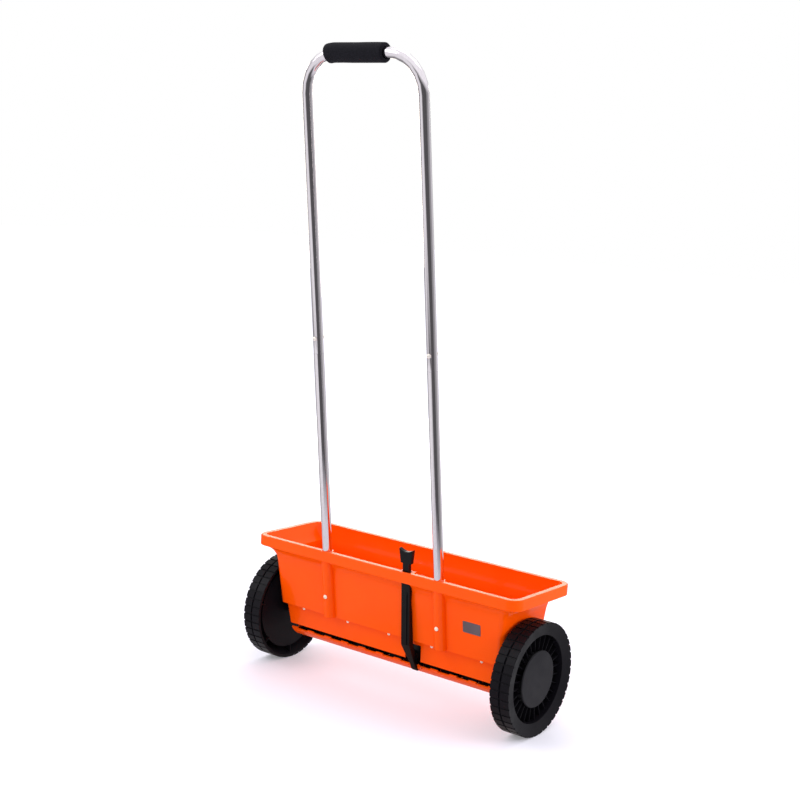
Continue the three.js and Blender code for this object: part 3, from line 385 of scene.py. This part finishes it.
def loft(bm, rings, closed=False):
    """Faces between rings of points, each ring closed on itself."""
    loops = [[bm.verts.new(point) for point in ring] for ring in rings]
    pairs = list(zip(loops, loops[1:]))
    if closed:
        pairs.append((loops[-1], loops[0]))
    for here, there in pairs:
        count = len(here)
        for k in range(count):
            k1 = (k + 1) % count
            bm.faces.new((here[k], here[k1], there[k1], there[k]))
    return loops


def capped(name, rings):
    """An object lofted through the rings, with a face over the first and the last."""
    bm = bmesh.new()
    loops = loft(bm, rings)
    bm.faces.new(loops[0])
    bm.faces.new(loops[-1])
    bmesh.ops.recalc_face_normals(bm, faces=bm.faces)
    return new_object(name, bm)


# ---- screws ----


def round_ring(centre, across, along, radius):
    turns = [2 * math.pi * k / SCREW_SIDES for k in range(SCREW_SIDES)]
    return [centre + radius * (math.cos(t) * across + math.sin(t) * along) for t in turns]


def head_middle(node, direction):
    """The middle of a screw's head, on its outer face."""
    points = [v.co for v in NODES[node].data.vertices]
    reach = max(p.dot(direction) for p in points)
    top = [p for p in points if reach - p.dot(direction) < TOP_TOLERANCE]
    return sum(top, Vector()) / len(top)


def cross_cutter(top, direction, reach, depth):
    """A tapered plus-shaped prism, narrow end down."""
    along = direction.cross(RIGHT)
    arm = RECESS_ARM
    plus = [(1, arm), (arm, arm), (arm, 1), (-arm, 1), (-arm, arm), (-1, arm)]
    plus += [(-i, -j) for i, j in plus]
    rings = []
    for level, grow in ((RECESS_LIFT, RECESS_MOUTH), (-depth, RECESS_FLOOR)):
        middle = top + direction * level
        rings.append([middle + reach * grow * (i * RIGHT + j * along) for i, j in plus])
    return capped("cutter", rings)


def cut_out(obj, cutter):
    """The object's mesh without what the cutter covers; the cutter goes."""
    recess = obj.modifiers.new("recess", "BOOLEAN")
    recess.operation = "DIFFERENCE"
    recess.object = cutter
    recess.solver = "EXACT"
    depsgraph = bpy.context.evaluated_depsgraph_get()
    mesh = bpy.data.meshes.new_from_object(obj.evaluated_get(depsgraph))
    obj.modifiers.clear()
    obj.data = mesh
    bpy.data.objects.remove(cutter)


def screw(node, direction, head, look=None):
    """A pan-head screw with a rounded head and a cross recess."""
    radius, height = head
    top = head_middle(node, direction)
    low = min(v.co.dot(direction) for v in NODES[node].data.vertices) - top.dot(direction)
    shank = radius / 2
    profile = [
        (low, SCREW_POINT * shank),
        (low + shank / 2, shank),
        (-height, shank),
        (-height, HEAD_UNDERSIDE * radius),
    ]
    for share in HEAD_LEVELS:
        profile.append(((share - 1) * height, radius * (1 - share ** HEAD_ROUNDNESS) ** 0.5))
    profile.append((0, HEAD_CROWN * radius))
    along = direction.cross(RIGHT)
    rings = [round_ring(top + z * direction, RIGHT, along, r) for z, r in profile]
    obj = capped(node + "_turned", rings)
    cut_out(obj, cross_cutter(top, direction, RECESS_REACH * radius, RECESS_DEPTH * height))
    smooth(obj, 40)
    dress(obj, node, look)


# ---- foam grip and label ----


def grip_line(place):
    """A point of the grip's centre line, place metres from its left end, with its outward and
    forward directions there."""
    low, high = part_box("foam_grip")
    bar = Vector((0, low.y + GRIP_RADIUS, high.z - GRIP_RADIUS))
    bent = GRIP_LEFT - BAR_HALF
    if place >= bent:
        return bar + RIGHT * (place - GRIP_LEFT), -DOWN_TUBE, RIGHT
    angle = (bent - place) / BEND_RADIUS
    sine, cosine = math.sin(angle), math.cos(angle)
    centre = bar - RIGHT * BAR_HALF + DOWN_TUBE * BEND_RADIUS
    outward = -cosine * DOWN_TUBE - sine * RIGHT
    return centre + BEND_RADIUS * outward, outward, cosine * RIGHT - sine * DOWN_TUBE


def grip_profile():
    """Place along the grip and radius: round the left end, along, round the right end and back
    through the bore."""
    length = GRIP_LEFT + GRIP_RIGHT
    ends = []
    for degrees in GRIP_END_TURNS:
        turn = math.radians(degrees)
        inset = GRIP_END_ROUND * (1 - math.cos(turn))
        ends.append((inset, GRIP_RADIUS - GRIP_END_ROUND * (1 - math.sin(turn))))
    straight = length - 2 * GRIP_END_ROUND
    profile = [(0.0, GRIP_BORE), (0.0, GRIP_RADIUS - GRIP_END_ROUND)]
    profile += ends
    for i in range(1, GRIP_STEPS):
        profile.append((GRIP_END_ROUND + straight * i / GRIP_STEPS, GRIP_RADIUS))
    profile += [(length - inset, radius) for inset, radius in reversed(ends)]
    profile += [(length, GRIP_RADIUS - GRIP_END_ROUND), (length, GRIP_BORE)]
    profile += [(length * i / BORE_STEPS, GRIP_BORE) for i in range(BORE_STEPS - 1, 0, -1)]
    return profile


def foam_sleeve():
    """A closed-cell foam sleeve with soft ends, slightly uneven from handling."""
    rings = []
    for place, radius in grip_profile():
        centre, outward, tangent = grip_line(place)
        side = tangent.cross(outward)
        ring = []
        for k in range(GRIP_SIDES):
            turn = 2 * math.pi * k / GRIP_SIDES
            out = math.cos(turn) * outward + math.sin(turn) * side
            uneven = 0.0
            if radius > GRIP_BORE:
                swell = noise.noise(GRIP_WAVES * (centre + radius * out))
                uneven = GRIP_SWELL * swell - GRIP_SUNK
            ring.append(centre + (radius + uneven) * out)
        rings.append(ring)
    bm = bmesh.new()
    loft(bm, rings, closed=True)
    bmesh.ops.recalc_face_normals(bm, faces=bm.faces)
    grip = new_object("foam_grip_sleeve", bm)
    smooth(grip, 60)
    dress(grip, "foam_grip")


def label_ring(inset, level):
    """A rounded rectangle, inset from the label's outline, level metres out from its middle."""
    radius = LABEL_CORNER - inset
    ring = []
    for quarter, (i, j) in enumerate(CORNERS):
        for step in range(CORNER_STEPS + 1):
            turn = math.radians(90 * (quarter + step / CORNER_STEPS))
            x = i * (LABEL_HALF_WIDTH - LABEL_CORNER) + radius * math.cos(turn)
            y = j * (LABEL_HALF_HEIGHT - LABEL_CORNER) + radius * math.sin(turn)
            ring.append(LABEL_MIDDLE + x * RIGHT - y * DOWN_TUBE + level * REARWARD)
    return ring


def blank_label():
    """A thin blank plate with rounded corners and a raised edge, on the hopper's rear wall."""
    plate = capped("blank_label", [label_ring(inset, level) for inset, level in LABEL_PROFILE])
    smooth(plate, 30)
    plate.data.materials.append(PLATE)
    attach(plate, NODES["hopper_tub"]["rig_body"])


for node in NODES:
    if "skirt_screw" in node:
        screw(node, -FORWARD if node.startswith("rear") else FORWARD, SKIRT_HEAD, YELLOW_ZINC_AND_PAINTED_GLINT)
    elif node.startswith("boss_screw"):
        screw(node, REARWARD, TUBE_HEAD, YELLOW_ZINC_AND_PAINTED_GLINT)
    elif node.startswith("joint_screw"):
        screw(node, REARWARD, TUBE_HEAD)
    elif node == "foam_grip":
        foam_sleeve()
    else:
        refined(node, EDGES.get(node, EDGE))
blank_label()


# ---- stage ----

CAMERA_AT = Vector((1.5272, -2.0127, 0.9311))
YAW, PITCH, ROLL = 37.02, 8.64, 3.58  # degrees
FOCAL_LENGTH, SENSOR_WIDTH = 65.8, 36  # millimetres
CLIP = (0.05, 60)


def grey(level):
    return (level, level, level, 1)


# What bright metal and gloss see round the horizon: direction from +X in degrees, and brightness.
HORIZON = [
    (-180, 0.28), (-162, 0.32), (-150, 0.72), (-138, 0.86), (-110, 0.84), (-99, 0.42),
    (-90, 0.1), (-14, 0.09), (-2, 0.26), (16, 0.34), (28, 0.3), (48, 0.62),
    (80, 0.74), (98, 0.5), (110, 0.2), (127, 0.14), (150, 0.22), (180, 0.28),
]
CEILING = (0.1, 0.4)  # heights in the sky where gloss starts to see the ceiling and sees only it

SOFT_FROM = Vector((-0.5, -0.6, 0.6))  # the side that the soft light comes from
SOFT_START = -0.6
SOFT_LEVELS = (0.84, 1.02)

# What gloss sees of the floor, as the floor's own glow: a painted warm shade and orange bounce
# below the hopper, bright round it, then the horizon's tones.
PAINTED_WARM_SHADE_UNDER_HOPPER = (0.56, 0.38, 0.35, 1)
NEAR_FLOOR = (0.76, 0.75, 0.78, 1)
NEAR_REACH = (0.2, 0.32)  # distances from the origin where one tone gives way to the next
FAR_REACH = (0.55, 0.95)

FLOOR_SIZE = 14
FLOOR_DROP = 0.0005
FLOOR_SHADES = ((0.79, 0.77, 0.88), (0.81, 0.79, 0.9))
FLOOR_GLOW = (0.2, 0.4)  # the floor's own light for the camera, near and far
GLOW_REACH = (0.8, 2.6)

WHITE_LIGHT, WARM_LIGHT = (1, 1, 1), (1, 0.92, 0.8)
LAMPS = [  # name, place, target, size, power in watts, colour and whether gloss sees it
    ("key", (-2.2, -2.2, 2.6), (0, 0, 0.4), (2.2, 2.2), 35, WHITE_LIGHT, True),
    ("top", (0, 0.6, 3.2), (0, 0, 0.2), (2.6, 2.0), 15, WHITE_LIGHT, True),
    ("back", (-1.8, 2.4, 1.07), (0, 0, 0.25), (2.6, 1.1), 32, WARM_LIGHT, True),
    ("side", (2.2, 1.1, 0.9), (0.2, 0, 0.15), (1.4, 1.0), 24, WHITE_LIGHT, False),
]


def add_camera():
    data = bpy.data.cameras.new("camera")
    data.lens = FOCAL_LENGTH
    data.sensor_width = SENSOR_WIDTH
    data.clip_start, data.clip_end = CLIP
    camera = bpy.data.objects.new("camera", data)
    bpy.context.scene.collection.objects.link(camera)
    turn = Matrix.Rotation(math.radians(YAW), 4, "Z")
    tilt = Matrix.Rotation(math.radians(90 - PITCH), 4, "X")
    roll = Matrix.Rotation(math.radians(ROLL), 4, "Z")
    camera.matrix_world = Matrix.Translation(CAMERA_AT) @ turn @ tilt @ roll
    bpy.context.scene.camera = camera


def add_area(name, place, target, size, power, colour, in_gloss):
    data = bpy.data.lights.new(name, "AREA")
    data.shape = "RECTANGLE"
    data.size, data.size_y = size
    data.energy = power
    data.color = colour
    lamp = bpy.data.objects.new(name, data)
    bpy.context.scene.collection.objects.link(lamp)
    lamp.location = place
    lamp.rotation_mode = "QUATERNION"
    lamp.rotation_quaternion = (Vector(target) - Vector(place)).to_track_quat("-Z", "Y")
    lamp.visible_camera = False
    lamp.visible_glossy = in_gloss


def studio(t, place):
    """The colour of HORIZON in the direction of place, and place's height: nodes that the world
    and the floor share."""
    axes = t.add("SeparateXYZ", {"Vector": place})
    azimuth = t.add("Math", {0: axes.outputs["Y"], 1: axes.outputs["X"]}, "ARCTAN2")
    turn = t.remap(azimuth.outputs[0], 0, 1, -math.pi, math.pi)
    horizon = t.add("ValToRGB", {"Fac": turn})
    stops = horizon.color_ramp.elements
    for degrees, level in HORIZON[1:-1]:
        stops.new((degrees + 180) / 360).color = grey(level)
    stops[0].color = grey(HORIZON[0][1])
    stops[-1].color = grey(HORIZON[-1][1])
    return horizon.outputs["Color"], axes.outputs["Z"]


def add_world():
    """White for the camera; soft light from the left and above; a studio with a dark side for
    gloss."""
    world = bpy.data.worlds.new("studio")
    bpy.context.scene.world = world
    world.use_nodes = True
    t = Tree(world.node_tree)
    path = t.add("LightPath").outputs
    direction = t.add("TexCoord").outputs["Generated"]
    horizon, height = studio(t, direction)
    seen = t.mixed(t.remap(height, 0, 1, *CEILING), horizon, grey(1))
    towards = {0: direction, 1: SOFT_FROM.normalized()}
    side = t.add("VectorMath", towards, "DOT_PRODUCT").outputs["Value"]
    soft = t.remap(side, *SOFT_LEVELS, SOFT_START, 1)
    lit = t.mixed(path["Is Glossy Ray"], soft, seen)
    shown = t.mixed(path["Is Camera Ray"], lit, grey(1))
    t.fill(t.tree.nodes["Background"], {"Color": shown})


def add_floor():
    """A pale floor that keeps shadows for the camera; to gloss it shows painted tones as its own
    glow, with a painted warm shade under the hopper.
    """
    bm = bmesh.new()
    bmesh.ops.create_grid(bm, x_segments=1, y_segments=1, size=FLOOR_SIZE)
    floor = new_object("floor", bm)
    floor.location = (0, 0, -FLOOR_DROP)
    m = Surface("pale_floor")
    path = m.add("LightPath").outputs
    glossy = path["Is Glossy Ray"]
    away = m.add("VectorMath", {0: m.coords}, "LENGTH").outputs["Value"]
    pale = m.shades(m.noise(scale=2, detail=2), *FLOOR_SHADES)
    # painted warm shade under the hopper, which the floor glows with for gloss rays
    near = m.mixed(m.remap(away, 0, 1, *NEAR_REACH), PAINTED_WARM_SHADE_UNDER_HOPPER, NEAR_FLOOR)
    tones = m.mixed(m.remap(away, 0, 1, *FAR_REACH), near, studio(m, m.coords)[0])
    shine = m.remap(away, *FLOOR_GLOW, *GLOW_REACH)
    glow = m.add("Math", {0: path["Is Camera Ray"], 1: shine, 2: glossy}, "MULTIPLY_ADD")
    m.set(
        Base_Color=m.mixed(glossy, pale, grey(0)),
        Emission_Color=m.mixed(glossy, grey(1), tones),
        Emission_Strength=glow.outputs["Value"],
        Roughness=0.6,
        Specular_IOR_Level=0.0,
    )
    floor.data.materials.append(m.material)


add_camera()
add_world()
add_floor()
for lamp in LAMPS:
    add_area(*lamp)
bpy.context.scene.view_settings.view_transform = "Standard"
